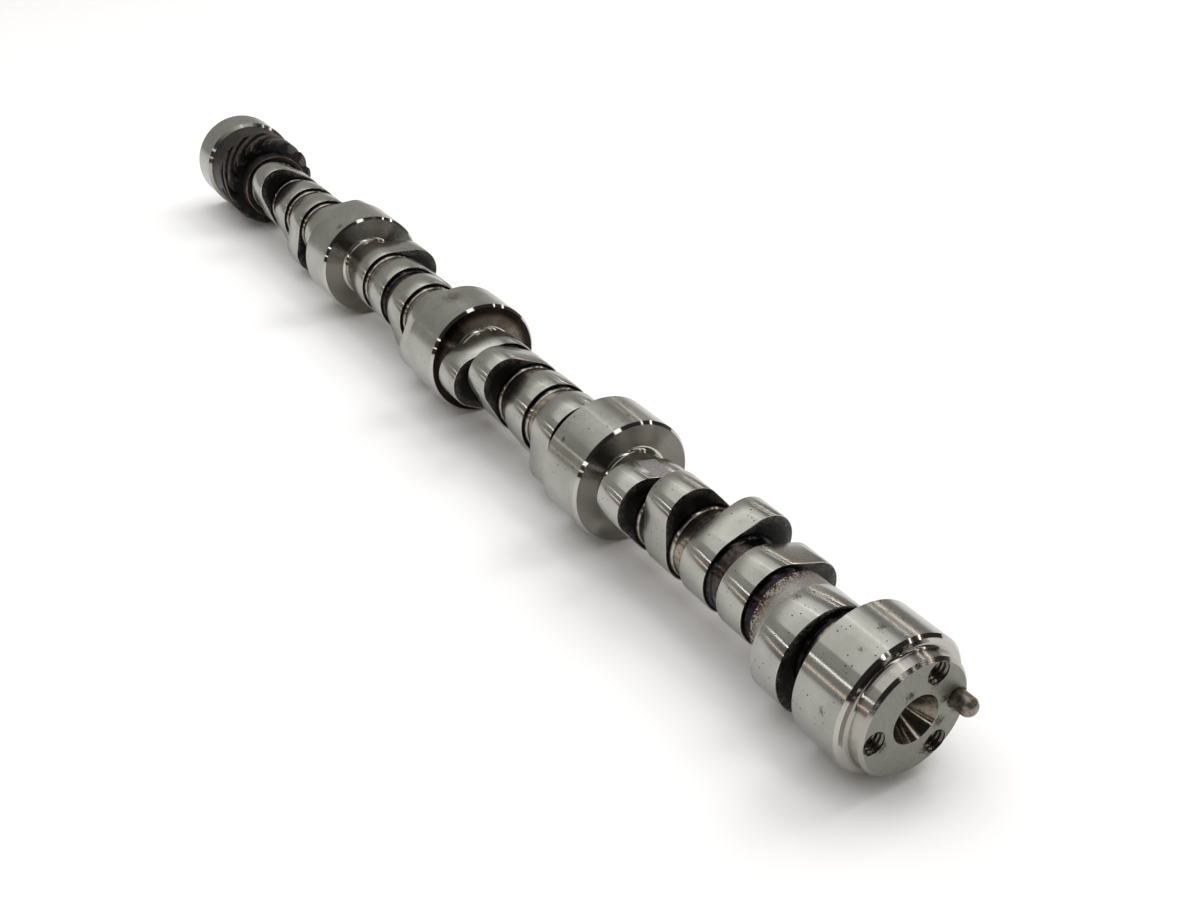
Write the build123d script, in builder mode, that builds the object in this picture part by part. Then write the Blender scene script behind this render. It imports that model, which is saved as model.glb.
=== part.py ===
"""Camshaft of a pushrod V8 engine with roller lifters, and its dowel pin.

All sizes are in millimetres. The shaft lies along X on its five equal journals. The origin is the
middle of the nose's front face, +X points out of the nose and Z is up. An angle on the shaft is
turned clockwise from straight up, seen from the nose.
"""
import os
from math import cos, radians, sin

from build123d import *

# Journals: one diameter, so that the shaft slides into its bearings from the front.
journal_radius = 23.73
bay_pitch = 111.76
front_journal_x = -15.95
second_journal_x = -155.15
rear_journal_x = -538.1
front_journal_length = 17.9
middle_journal_length = 20.6
rear_journal_length = 16.2
journal_chamfer = 1.0
front_journal_rear_chamfer = 0.4

# Shaft between the collars: bar turned down to a neck in every gap.
bar_radius = 15.0
neck_radius = 13.0
neck_corner = 1.9

# Nose that carries the timing gear.
nose_radius = 20.0
nose_length = 6.0
nose_chamfer = 1.1
nose_corner = 1.2

# Gear bolts and machining centre in the nose face.
bolt_circle_radius = 15.24
bolt_count = 3
bolt_start_angle = 24.0
tap_drill_radius = 3.35
bolt_hole_depth = 20.0
bolt_hole_mouth = 0.62
centre_mouth_radius = 8.3
centre_angle = 60.0
centre_drill_radius = 2.5
centre_drill_depth = 18.0
rear_centre_mouth_radius = 4.0

# Dowel pin pressed into the nose face between two bolt holes.
pin_radius = 3.175
pin_angle = 86.0
pin_reach = 7.2
pin_seat_depth = 14.0
pin_tip_radius = 1.85
pin_tip_length = 2.0
pin_tip_corner = 1.2
pin_relief_depth = 0.25
pin_relief_front_x = 0.2
pin_relief_rear_x = -0.5
pin_mouth = 0.4

# Fuel pump eccentric behind the front journal, and the full bar left behind it.
eccentric_radius = 19.0
eccentric_throw = 3.73
eccentric_angle = 212.0
eccentric_x = -41.8
eccentric_width = 12.4
bar_land_rear_x = -56.1

# Lobes: base circle and nose circle joined by flat flanks.
lobe_base_radius = 15.0
lobe_nose_radius = 11.0
lobe_reach = 23.05
lobe_width = 12.7
lobe_separation = 109.6
lifter_rows_angle = 82.0
first_exhaust_angle = 88.3
firing_order = (1, 8, 4, 3, 6, 5, 7, 2)
# Lobe centres of one bay, from the outer journal of its pair of bays.
lobe_steps = (28.3, 48.0, 68.4, 88.2)

# Distributor drive gear, and the plain drum that joins it to the rear journal.
gear_teeth = 13
gear_radius = 22.9
gear_root_radius = 18.5
gear_front_x = -497.9
gear_width = 17.1
gear_lead = 98.0
gear_tip_share = 0.36
gear_root_share = 0.66
gear_chamfer = 1.6
gear_tooth_angle = -30.0
drum_radius = 22.2
gear_shoulder_radius = 16.6
gear_shoulder_length = 7.7


def across(x):
    """Plane across the shaft at x: its own x is +Y, its own y is +Z, seen from the nose."""
    return Plane(origin=(x, 0, 0), x_dir=(0, 1, 0), z_dir=(1, 0, 0))


def at_angle(radius, angle):
    """Point of such a plane at a radius and an angle clockwise from straight up."""
    return (radius * sin(radians(angle)), radius * cos(radians(angle)))


def journal(x, length, front_chamfer, rear_chamfer):
    """Ground land with a chamfer at each end, outside the land's length."""
    front = x + length / 2
    rear = x - length / 2
    with BuildPart() as land:
        with BuildSketch(Plane.XZ):
            with BuildLine():
                Polyline(
                    (front + front_chamfer, 0),
                    (front + front_chamfer, journal_radius - front_chamfer),
                    (front, journal_radius),
                    (rear, journal_radius),
                    (rear - rear_chamfer, journal_radius - rear_chamfer),
                    (rear - rear_chamfer, 0),
                    close=True,
                )
            make_face()
        revolve(axis=Axis.X)
    return land.part


def lobe(x, angle):
    """One cam lobe: the hull of its base circle and its nose circle."""
    with BuildPart() as cam:
        with BuildSketch(across(x)):
            Circle(lobe_base_radius)
            with Locations(at_angle(lobe_reach - lobe_nose_radius, angle)):
                Circle(lobe_nose_radius)
            make_hull()
        extrude(amount=lobe_width / 2, both=True)
    return cam.part


def exhaust_angle(cylinder):
    """Each firing turns the shaft an eighth, and the even cylinders' lifters lean the other way."""
    turns = firing_order.index(cylinder)
    row = lifter_rows_angle if cylinder % 2 == 0 else 0
    return first_exhaust_angle - 360 / 8 * turns - row


def lobe_places():
    """Every lobe's place along the shaft and its angle, from the nose to the rear."""
    outer = {1: second_journal_x, 4: second_journal_x - 2 * bay_pitch}
    middle = second_journal_x - bay_pitch
    steps = lobe_steps[::-1]
    places = []
    for row, (pair, first) in enumerate((((1, 2), "E"), ((3, 4), "I"), ((5, 6), "E"), ((7, 8), "I"))):
        second = "I" if first == "E" else "E"
        order = [(pair[0], first), (pair[1], first), (pair[0], second), (pair[1], second)]
        for place, (cylinder, valve) in enumerate(order):
            if row == 0:
                x = outer[1] + steps[place]
            elif row == 1:
                x = middle + bay_pitch - lobe_steps[place]
            elif row == 2:
                x = middle - bay_pitch + steps[place]
            else:
                x = outer[4] - lobe_steps[place]
            angle = exhaust_angle(cylinder) - (lobe_separation if valve == "I" else 0)
            places.append((x, angle))
    return places


def drive_gear():
    """Right-hand helical gear, lofted through turned sections and bevelled at its front rim."""
    pitch = 360 / gear_teeth
    sections = 5
    with BuildPart() as teeth:
        for k in range(sections):
            back = gear_width * k / (sections - 1)
            turned = gear_tooth_angle + 360 * back / gear_lead
            rim = []
            for tooth in range(gear_teeth):
                middle = turned + tooth * pitch
                rim.append(at_angle(gear_root_radius, middle - pitch * gear_root_share / 2))
                rim.append(at_angle(gear_radius, middle - pitch * gear_tip_share / 2))
                rim.append(at_angle(gear_radius, middle + pitch * gear_tip_share / 2))
                rim.append(at_angle(gear_root_radius, middle + pitch * gear_root_share / 2))
            with BuildSketch(across(gear_front_x - back)):
                with BuildLine():
                    Polyline(*rim, close=True)
                make_face()
        loft()
        with BuildSketch(across(gear_front_x)):
            Circle(gear_radius - gear_chamfer)
        with BuildSketch(across(gear_front_x - gear_chamfer)):
            Circle(gear_radius)
        with BuildSketch(across(gear_front_x - gear_width)):
            Circle(gear_radius)
        loft(ruled=True, mode=Mode.INTERSECT)
    return teeth.part


# Collars that stand on the bar, as (front x, rear x), from the nose to the rear.
journals = [
    (front_journal_x, front_journal_length, journal_chamfer, front_journal_rear_chamfer),
    (second_journal_x, middle_journal_length, journal_chamfer, journal_chamfer),
    (second_journal_x - bay_pitch, middle_journal_length, journal_chamfer, journal_chamfer),
    (second_journal_x - 2 * bay_pitch, middle_journal_length, journal_chamfer, journal_chamfer),
    (rear_journal_x, rear_journal_length, journal_chamfer, journal_chamfer),
]
shaft_rear_x = rear_journal_x - rear_journal_length / 2 - journal_chamfer
drum_rear_x = rear_journal_x + rear_journal_length / 2 + journal_chamfer
collars = [(x + length / 2 + front, x - length / 2 - rear) for x, length, front, rear in journals[:4]]
collars += [(x + lobe_width / 2, x - lobe_width / 2) for x, angle in lobe_places()]
collars.append((eccentric_x + eccentric_width / 2, bar_land_rear_x))
collars.append((gear_front_x + gear_shoulder_length, shaft_rear_x))
collars.sort(reverse=True)

with BuildPart() as camshaft:
    # Bar with a round-cornered neck turned into every gap between two collars.
    with BuildSketch(across(0)):
        Circle(bar_radius)
    extrude(amount=shaft_rear_x)
    with BuildSketch(Plane.XZ):
        for (front, rear), (next_front, next_rear) in zip(collars, collars[1:]):
            gap = rear - next_front
            deep = 2 * (bar_radius + neck_corner - neck_radius)
            with Locations(((rear + next_front) / 2, neck_radius + deep / 2)):
                RectangleRounded(gap, deep, neck_corner)
    revolve(axis=Axis.X, mode=Mode.SUBTRACT)

    # Nose.
    with BuildSketch(across(-nose_length)):
        Circle(nose_radius)
    extrude(amount=nose_length)
    chamfer(camshaft.faces().sort_by(Axis.X)[-1].edges(), nose_chamfer)

    # Journals, and the corner radius between the nose and the first one.
    for x, length, front, rear in journals:
        add(journal(x, length, front, rear))
    corner = camshaft.edges().filter_by(GeomType.CIRCLE).filter_by(
        lambda edge: abs(edge.center().X + nose_length) < 0.01 and abs(edge.radius - nose_radius) < 0.01
    )
    corner_wall = journal_radius - journal_chamfer - nose_radius
    fillet(corner, min(nose_corner, 0.9 * corner_wall))

    # Fuel pump eccentric.
    with BuildSketch(across(eccentric_x)):
        with Locations(at_angle(eccentric_throw, eccentric_angle)):
            Circle(eccentric_radius)
    extrude(amount=eccentric_width / 2, both=True)

    # Lobes.
    for x, angle in lobe_places():
        add(lobe(x, angle))

    # Drive gear with its shoulder in front and its drum behind.
    with BuildSketch(across(gear_front_x)):
        Circle(gear_shoulder_radius)
    extrude(amount=gear_shoulder_length)
    add(drive_gear())
    with BuildSketch(across(drum_rear_x)):
        Circle(drum_radius)
    extrude(amount=gear_front_x - gear_width - drum_rear_x)

    # Holes in the nose face: gear bolts, dowel seat and machining centre.
    with Locations(across(0)):
        with Locations(*[at_angle(bolt_circle_radius, bolt_start_angle + 360 / bolt_count * k)
                         for k in range(bolt_count)]):
            CounterSinkHole(tap_drill_radius, tap_drill_radius + bolt_hole_mouth, bolt_hole_depth, 90)
        with Locations(at_angle(bolt_circle_radius, pin_angle)):
            CounterSinkHole(pin_radius, pin_radius + pin_mouth, pin_seat_depth, 90)
        CounterSinkHole(centre_drill_radius, centre_mouth_radius, centre_drill_depth, centre_angle)

    # Machining centre in the rear face.
    with Locations(Plane(origin=(shaft_rear_x, 0, 0), x_dir=(0, 1, 0), z_dir=(-1, 0, 0))):
        CounterSinkHole(centre_drill_radius, rear_centre_mouth_radius, centre_drill_depth / 2, centre_angle)

camshaft.part.label = "camshaft"

with BuildPart() as dowel_pin:
    # Straight pin with a relief where it leaves its seat, a tapered lead and a rounded tip.
    lead_x = pin_reach - pin_tip_length
    relief_radius = pin_radius - pin_relief_depth
    with BuildSketch(Plane.XZ):
        with BuildLine():
            Polyline(
                (-pin_seat_depth, 0),
                (-pin_seat_depth, pin_radius),
                (pin_relief_rear_x, pin_radius),
                (pin_relief_rear_x, relief_radius),
                (pin_relief_front_x, relief_radius),
                (pin_relief_front_x, pin_radius),
                (lead_x, pin_radius),
                (pin_reach, pin_tip_radius),
                (pin_reach, 0),
                close=True,
            )
        make_face()
    revolve(axis=Axis.X)
    fillet(dowel_pin.edges().filter_by(GeomType.CIRCLE).sort_by(Axis.X)[-1], pin_tip_corner)

pin_y, pin_z = at_angle(bolt_circle_radius, pin_angle)
dowel_pin.part = dowel_pin.part.moved(Location((0, pin_y, pin_z)))
dowel_pin.part.label = "dowel_pin"

os.makedirs("parts", exist_ok=True)
export_step(camshaft.part, "parts/camshaft.step")
export_step(dowel_pin.part, "parts/dowel_pin.step")
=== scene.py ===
# %% [markdown]
# # A camshaft in its own metal
# This lesson dresses the camshaft of a pushrod V8 engine. The CAD frame holds its true sizes, and every
# piece made here stands in that frame: the shaft lies along X with its nose at +X, and Z is up.
# Lengths are written in millimetres and turned to metres by one factor.

# %% The frame
from math import acos, atan2, cos, pi, radians, sin, tan

import bmesh
import bpy
from mathutils import Matrix, Vector


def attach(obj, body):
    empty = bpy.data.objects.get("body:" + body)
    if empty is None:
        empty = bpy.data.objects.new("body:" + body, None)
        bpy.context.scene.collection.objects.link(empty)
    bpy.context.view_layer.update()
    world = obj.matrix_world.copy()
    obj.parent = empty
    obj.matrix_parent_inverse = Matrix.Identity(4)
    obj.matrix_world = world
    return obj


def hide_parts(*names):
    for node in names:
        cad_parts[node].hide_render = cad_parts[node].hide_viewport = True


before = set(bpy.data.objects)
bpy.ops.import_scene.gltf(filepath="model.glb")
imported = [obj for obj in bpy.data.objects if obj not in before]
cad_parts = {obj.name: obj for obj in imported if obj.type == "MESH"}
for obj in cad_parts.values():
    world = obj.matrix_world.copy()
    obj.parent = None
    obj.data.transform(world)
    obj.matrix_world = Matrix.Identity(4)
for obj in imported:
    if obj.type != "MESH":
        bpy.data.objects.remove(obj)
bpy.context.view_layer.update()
MM = 0.001

# %% [markdown]
# ## The camera
# The photograph looks down at the nose from its left. Its place and turn were found by fitting a
# pinhole camera to the round edges of the journals, so the render can be laid over the photograph.

# %% Camera
lens = bpy.data.cameras.new("photo_camera")
lens.sensor_width = 36.0
lens.lens = 41.671
lens.clip_start = 0.01
lens.clip_end = 30.0
camera = bpy.data.objects.new("photo_camera", lens)
bpy.context.collection.objects.link(camera)
stand, turned_left, raised = Vector((200.18, -227.69, 261.59)) * MM, 58.0548, 58.9654
camera.matrix_world = (Matrix.Translation(stand) @ Matrix.Rotation(radians(turned_left), 4, "Z")
                       @ Matrix.Rotation(radians(raised), 4, "X"))
bpy.context.scene.camera = camera
bpy.context.scene.view_settings.view_transform = "Standard"
print("camera looks down", round(90 - raised, 1), "degrees")

# %% [markdown]
# ## Nodes with one helper
# A material is a small tree of nodes. One function adds any node, sets its values and joins its inputs,
# so each material below reads as a recipe. Colours are written as on a colour picker and turned linear.


# %% Colours and nodes
def linear(colour):
    """Linear colour of an sRGB hex value."""
    parts = [int(colour[k:k + 2], 16) / 255 for k in (1, 3, 5)]
    return tuple(p / 12.92 if p <= 0.04045 else ((p + 0.055) / 1.055) ** 2.4 for p in parts) + (1.0,)


def add(tree, kind, values=None, links=None):
    """Adds a node: values are its settings or its inputs' values, links say which output feeds an input."""
    made = tree.nodes.new(kind)
    for name, value in (values or {}).items():
        if name == "stops":
            while len(made.color_ramp.elements) < len(value):
                made.color_ramp.elements.new(0.5)
            for stop, (position, colour) in zip(made.color_ramp.elements, value):
                stop.position, stop.color = position, linear(colour)
        elif isinstance(name, str) and hasattr(made, name):
            setattr(made, name, value)
        else:
            made.inputs[name].default_value = value
    for name, output in (links or {}).items():
        tree.links.new(output, made.inputs[name])
    return made


print("white is", [round(v, 2) for v in linear("#FFFFFF")])

# %% [markdown]
# ## A new material
# Every finish starts from the same three nodes: the surface shader, the output, and the place on the piece.
# The place is in Object coordinates, which for these pieces are the shaft's own, so a pattern stays on the
# steel. Ground and turned steel also needs a direction, because its tool marks run around the shaft. Bare
# steel is fully metallic; scale, dust and paper are less so, and say how much.


# %% A new material
def start(name, metallic=1.0, anisotropy=0.0):
    """A new material: its tree, its surface shader, and the place on the piece that its patterns read."""
    material = bpy.data.materials.new(name)
    material.use_nodes = True
    tree = material.node_tree
    tree.nodes.clear()
    surface = add(tree, "ShaderNodeBsdfPrincipled", {"Metallic": metallic, "Anisotropic": anisotropy})
    add(tree, "ShaderNodeOutputMaterial", links={"Surface": surface.outputs[0]})
    place = add(tree, "ShaderNodeTexCoord").outputs["Object"]
    if anisotropy:
        # Gloss spreads across the tool marks: along the shaft, or outwards on a side.
        around = add(tree, "ShaderNodeVectorMath", {"operation": "CROSS_PRODUCT", 0: (1.0, 0.0, 0.0)},
                     {1: place})
        tree.links.new(around.outputs[0], surface.inputs["Tangent"])
        surface.inputs["Anisotropic Rotation"].default_value = 0.25
    return material, tree, surface, place


print("materials so far:", len(bpy.data.materials))

# %% [markdown]
# ## Patterns
# Three masks give nearly all the wear. Soft patches come from noise, round pits from the cells of a Voronoi
# texture, and wheel marks from noise that is drawn out around the shaft. Their sizes are in millimetres, as
# they would be measured on the steel.


# %% Patterns
def patches(tree, vector, size, low, high):
    """Mask of soft patches of a size in millimetres: 0 where noise is under low, 1 where it is over high."""
    noise = add(tree, "ShaderNodeTexNoise", {"Scale": 1 / (size * MM), "Detail": 6.0, "Roughness": 0.62},
                {"Vector": vector})
    return add(tree, "ShaderNodeMapRange", {"From Min": low, "From Max": high},
               {"Value": noise.outputs["Fac"]}).outputs[0]


def pits(tree, vector, spacing, size, share):
    """Mask of round pits: their spacing and greatest size in millimetres, and the share of places with one."""
    cells = add(tree, "ShaderNodeTexVoronoi", {"Scale": 1 / (spacing * MM)}, {"Vector": vector})
    pick = add(tree, "ShaderNodeSeparateColor", links={"Color": cells.outputs["Color"]})
    reach = add(tree, "ShaderNodeMapRange", {"From Min": 1 - share, "From Max": 1.0, "To Max": size / spacing},
                {"Value": pick.outputs["Red"]})
    return add(tree, "ShaderNodeMath", {"operation": "LESS_THAN"},
               {0: cells.outputs["Distance"], 1: reach.outputs[0]}).outputs[0]


def marks(tree, place, along, around):
    """Noise drawn out around the shaft: its size along the shaft and around it, in millimetres."""
    scale = (1 / (along * MM), 1 / (around * MM), 1 / (around * MM))
    stretched = add(tree, "ShaderNodeMapping", {"Scale": scale}, {"Vector": place})
    return add(tree, "ShaderNodeTexNoise", {"Scale": 1.0, "Detail": 3.0},
               {"Vector": stretched.outputs[0]}).outputs["Fac"]


print("a pattern of 1 mm has a scale of", round(1 / MM))

# %% [markdown]
# ## The floor
# The shaft lies on its five journals on plain white paper. The paper is one flat grid, far larger than the
# photograph's view, so that no edge shows in it. It is no part of the shaft.

# %% Floor
journal_radius = 23.73
floor_z = -journal_radius * MM
paper_reach = 6.0  # metres from the middle to an edge
sheet = bmesh.new()
bmesh.ops.create_grid(sheet, x_segments=1, y_segments=1, size=paper_reach,
                      matrix=Matrix.Translation((0, 0, floor_z)))
floor_mesh = bpy.data.meshes.new("floor")
sheet.to_mesh(floor_mesh)
sheet.free()
floor = bpy.data.objects.new("floor", floor_mesh)
bpy.context.collection.objects.link(floor)
# Matt white paper: nearly no gloss, so that the lamps leave no spots on it.
paper, tree, surface, place = start("white_paper", metallic=0.0)
surface.inputs["Base Color"].default_value = linear("#FDFDFD")
surface.inputs["Roughness"].default_value = 0.9
surface.inputs["Specular IOR Level"].default_value = 0.1
floor_mesh.materials.append(paper)
print("floor at", round(floor_z / MM, 2), "mm")

# %% [markdown]
# ## Light
# A polished cylinder mirrors the room as long bands, so each lamp is given by where it hangs and how bright
# it looks in a mirror. Wide soft boxes hang over the rear half of the shaft and over its front, and narrow
# strips beside it draw the thin lines of light. Three small lamps far in front draw rays on the turned sides
# and glints on the chamfers. The last two are hidden from mirrors, so they light the paper but not the bare
# steel, and push the shadow to the left.


# %% Lamps
def soft_box(name, place, target, size, brightness, colour="#FFFFFF"):
    """A rectangular lamp at a place, facing a target, in millimetres; brightness is the same at any size."""
    lamp = bpy.data.lights.new(name, "AREA")
    lamp.shape = "RECTANGLE"
    lamp.size, lamp.size_y = (side * MM for side in size)
    lamp.energy = brightness * pi * lamp.size * lamp.size_y
    lamp.color = linear(colour)[:3]
    made = bpy.data.objects.new(name, lamp)
    bpy.context.collection.objects.link(made)
    made.location = Vector(place) * MM
    facing = (Vector(place) - Vector(target)).normalized()
    side = Vector((1, 0, 0))
    made.rotation_euler = Matrix((side, facing.cross(side), facing)).transposed().to_euler()
    return made


# Soft boxes: over the rear half, over its ridge, wide and high behind, and over the front.
soft_box("overhead_box", (-720, -195, 1100), (-720, -195, 0), (1300, 1660), 0.62)
soft_box("ridge_box", (-640, 120, 1090), (-640, 120, 0), (1100, 560), 0.24)
soft_box("wide_box", (-900, -700, 1500), (-900, -700, 0), (2200, 3600), 0.24)
soft_box("front_box", (600, 165, 1000), (600, 0, 0), (1200, 200), 2.2)
# Strips: one over the shaft, two at its right and two at its left, from high to low.
soft_box("strip_over", (-600, 150, 1000), (-600, 0, 0), (1500, 34), 1.3)
soft_box("strip_right_high", (100, 900, 815), (100, 0, 0), (2800, 30), 4.0)
soft_box("strip_right", (100, 1000, 566), (100, 0, 0), (2800, 34), 6.6, "#FFF0E6")
soft_box("strip_left", (100, -1100, 525), (100, 0, 0), (2800, 32), 4.8)
soft_box("strip_left_low", (100, -1200, 212), (100, 0, 0), (2800, 36), 2.8, "#FFE4D4")
# Small lamps far in front.
soft_box("small_middle", (1190, 50, 970), (-100, 0, 0), (110, 110), 8.0)
soft_box("small_right", (1140, 580, 760), (-100, 0, 0), (130, 130), 7.0)
soft_box("small_left", (815, -1090, 480), (-150, 0, 0), (130, 130), 7.0)
# Lamps for the paper, which no mirror shows.
for paper_lamp in (soft_box("paper_lamp", (-250, 1200, 1500), (-250, 0, 0), (900, 900), 5.2),
                   soft_box("paper_fill", (-200, -100, 2400), (-200, -100, 0), (3200, 3200), 0.62)):
    paper_lamp.visible_glossy = False

# %% [markdown]
# ## The room
# Where it mirrors no lamp, the steel mirrors the room. The room is dark towards +X, where the camera stands,
# and pale behind the shaft, so the sides that face the nose come out darker than the lands. One flat grey
# would make both alike wherever they mirror no lamp.

# %% Room
world = bpy.data.worlds.new("studio")
world.use_nodes = True
bpy.context.scene.world = world
room = world.node_tree
looking = add(room, "ShaderNodeTexCoord").outputs["Generated"]
heading = add(room, "ShaderNodeSeparateXYZ", links={"Vector": looking})
to_the_back = add(room, "ShaderNodeMapRange", {"From Min": 0.6, "From Max": -1.0},
                  {"Value": heading.outputs["X"]})
room_stops = [(0.0, "#363434"), (0.25, "#3E3C3B"), (0.69, "#A09E9A"), (0.85, "#BFBDB8"), (1.0, "#AEACA8")]
grey = add(room, "ShaderNodeValToRGB", {"stops": room_stops}, {"Fac": to_the_back.outputs[0]})
room.links.new(grey.outputs["Color"], room.nodes["Background"].inputs["Color"])
print("the room has", len(room_stops), "greys from front to back")

# %% [markdown]
# ## Stains
# Fingers and old oil leave ragged brown marks on bare steel. Noise alone would put them anywhere, so each
# stain is a ball around a spot, and noise frays its edge. A spot is given by its x, its angle clockwise
# from the top as seen from the nose, and its distance from the axis.


# %% Stains
def towards(angle):
    """Direction of an angle on the shaft, clockwise from straight up as seen from the nose."""
    return Vector((0, sin(radians(angle)), cos(radians(angle))))


def near(tree, place, x, angle, away, size):
    """Mask of the places near a spot: its x, its angle, its distance from the axis, and the mask's size."""
    spot = (Vector((x, 0, 0)) + towards(angle) * away) * MM
    far = add(tree, "ShaderNodeVectorMath", {"operation": "DISTANCE", 1: spot}, {0: place})
    return add(tree, "ShaderNodeMapRange", {"From Min": size * MM, "From Max": 0.2 * size * MM},
               {"Value": far.outputs["Value"]}).outputs[0]


def stained(tree, place, colour, stains, brown="#352818", strength=0.85):
    """Ragged brown stains over a colour, densest at the middle of each spot; their grain is 0.7 mm."""
    grain = add(tree, "ShaderNodeTexNoise",
                {"Scale": 1400.0, "Detail": 5.0, "Roughness": 0.68, "Distortion": 0.8}, {"Vector": place})
    for stain in stains:
        ragged = add(tree, "ShaderNodeMath", {"operation": "MULTIPLY_ADD", 1: 0.34},
                     {0: near(tree, place, *stain), 2: grain.outputs["Fac"]})
        mask = add(tree, "ShaderNodeMapRange", {"From Min": 0.75, "From Max": 0.81, "To Max": strength},
                   {"Value": ragged.outputs[0]})
        colour = add(tree, "ShaderNodeMix", {"data_type": "RGBA", 7: linear(brown)},
                     {0: mask.outputs[0], 6: colour}).outputs[2]
    return colour


print("the top of the shaft is towards", [round(v, 2) for v in towards(0)])

# %% [markdown]
# ## Ground steel
# Journals and lobes are ground with a wheel while they turn. The wheel leaves fine lines around the shaft,
# so a lamp is mirrored sharply around the shaft but smeared along it. Lines drawn one by one would be too
# fine for the picture, so the shader smears the light by its Anisotropic value. The steel is a slightly
# warm grey, with pin-prick pits, and some brown marks where it was handled.


# %% Ground steel
def ground_steel(name, light, dark, stains=(), scuff=None):
    """Satin ground steel with pits, and stains or one scuffed band of angles where they are given."""
    material, tree, surface, place = start(name, anisotropy=0.95)
    tone = add(tree, "ShaderNodeMix", {"data_type": "RGBA", 6: linear(dark), 7: linear(light)},
               {0: patches(tree, place, 14, 0.35, 0.65)})
    pitted = add(tree, "ShaderNodeMix", {"data_type": "RGBA", 7: linear("#1C1712")},
                 {0: pits(tree, place, spacing=1.6, size=0.30, share=0.8), 6: tone.outputs[2]})
    colour = stained(tree, place, pitted.outputs[2], stains, "#43382A", 0.65)
    # Wheel marks, 0.3 mm apart where the real ones are ten times finer, so that they still show.
    lines = marks(tree, place, 0.3, 14)
    satin = add(tree, "ShaderNodeMapRange", {"To Min": 0.15, "To Max": 0.19}, {"Value": lines}).outputs[0]
    if scuff:
        # The band's middle and half width are angles; its edge is soft over 0.6 degrees to each side.
        middle, half = scuff
        outer, inner = cos(radians(half + 0.6)), cos(radians(half - 0.6))
        level = add(tree, "ShaderNodeVectorMath", {"operation": "MULTIPLY", 1: (0.0, 1.0, 1.0)}, {0: place})
        outward = add(tree, "ShaderNodeVectorMath", {"operation": "NORMALIZE"}, {0: level.outputs[0]})
        turn_here = add(tree, "ShaderNodeVectorMath", {"operation": "DOT_PRODUCT", 1: towards(middle)},
                        {0: outward.outputs[0]})
        mask = add(tree, "ShaderNodeMapRange", {"From Min": outer, "From Max": inner},
                   {"Value": turn_here.outputs["Value"]}).outputs[0]
        mottled = add(tree, "ShaderNodeMix", {"data_type": "RGBA", 6: linear("#8D8C90"), 7: linear("#B4B3B7")},
                      {0: patches(tree, place, 0.9, 0.35, 0.65)})
        colour = add(tree, "ShaderNodeMix", {"data_type": "RGBA"},
                     {0: mask, 6: colour, 7: mottled.outputs[2]}).outputs[2]
        satin = add(tree, "ShaderNodeMix", {"data_type": "FLOAT", 3: 0.36}, {0: mask, 2: satin}).outputs[0]
    tree.links.new(colour, surface.inputs["Base Color"])
    tree.links.new(satin, surface.inputs["Roughness"])
    return material


# Most lobes have no stains. The journals are a little darker, and were handled most.
steel = ground_steel("ground_steel", "#A6A69F", "#979790")
journal_steel = ground_steel("ground_journal", "#A3A39D", "#94948D", stains=(
    (-14.9, -6, 23.7, 3.0), (-12.9, -29, 23.7, 1.9), (-12.9, -80, 23.7, 2.6), (-150.2, 5, 23.7, 1.8),
    (-270.5, -12, 23.7, 8.5), (-372.0, -30, 23.7, 3.6), (-160.0, -50, 23.7, 2.6)))
eccentric_steel = ground_steel("ground_eccentric", "#A8A8A3", "#9A9A94",
                               stains=((-46.0, -22, 16.57, 2.4), (-38.0, 20, 16.5, 2.0)))
# One lobe has a pale, mottled band across its top, where the grinding was rubbed dull.
scuffed_steel = ground_steel("scuffed_lobe", "#A8A8A3", "#9A9A94",
                             stains=((-131.0, -60, 15, 3.2),), scuff=(-5.5, 13.5))
print("material", steel.name, "with", len(steel.node_tree.nodes), "nodes")

# %% [markdown]
# ## Black oxide
# The sides of the lobes keep the black scale of the heat treatment and the phosphate bath. It is nearly
# black with a low gloss, and rubbed through to grey along the rims. Painting that by hand would have to be
# done for each lobe, so the modelling marks the rims with the attribute "rim", which the material reads.


# %% Black oxide
def black_oxide(name, dark, brown, rubbed_and_sheen, spread=0.44, sharpness=0.8):
    """Black scale with thin brown places, and pale specks along the rims: rubbed wear, and on the gear's
    crests also a painted highlight.
    """
    material, tree, surface, place = start(name, metallic=0.5, anisotropy=0.5)
    tone = add(tree, "ShaderNodeMix", {"data_type": "RGBA", 6: linear(dark), 7: linear(brown)},
               {0: patches(tree, place, 5, 0.5, 0.8)})
    rim = add(tree, "ShaderNodeAttribute", {"attribute_name": "rim"}).outputs["Fac"]
    close = add(tree, "ShaderNodeMath", {"operation": "POWER", 1: sharpness}, {0: rim})
    worn_and_sheen = add(tree, "ShaderNodeMath", {"operation": "MULTIPLY"},
               {0: close.outputs[0], 1: patches(tree, place, 0.6, spread, spread + 0.16)})
    spared = add(tree, "ShaderNodeMath", {"operation": "MULTIPLY"},
                 {0: worn_and_sheen.outputs[0], 1: patches(tree, place, 4, 0.36, 0.56)})
    colour = add(tree, "ShaderNodeMix", {"data_type": "RGBA", 7: linear(rubbed_and_sheen)},
                 {0: spared.outputs[0], 6: tone.outputs[2]})
    tree.links.new(colour.outputs[2], surface.inputs["Base Color"])
    gloss = add(tree, "ShaderNodeMapRange", {"To Min": 0.30, "To Max": 0.55},
                {"Value": patches(tree, place, 0.8, 0.3, 0.7)})
    tree.links.new(gloss.outputs[0], surface.inputs["Roughness"])
    # Scale has a grain of 0.7 mm, coarser than the real one so that it shows.
    grain = add(tree, "ShaderNodeTexNoise", {"Scale": 1400.0, "Detail": 2.0}, {"Vector": place})
    dent = add(tree, "ShaderNodeBump", {"Strength": 0.12, "Distance": 0.2 * MM},
               {"Height": grain.outputs["Fac"]})
    tree.links.new(dent.outputs[0], surface.inputs["Normal"])
    return material
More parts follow.
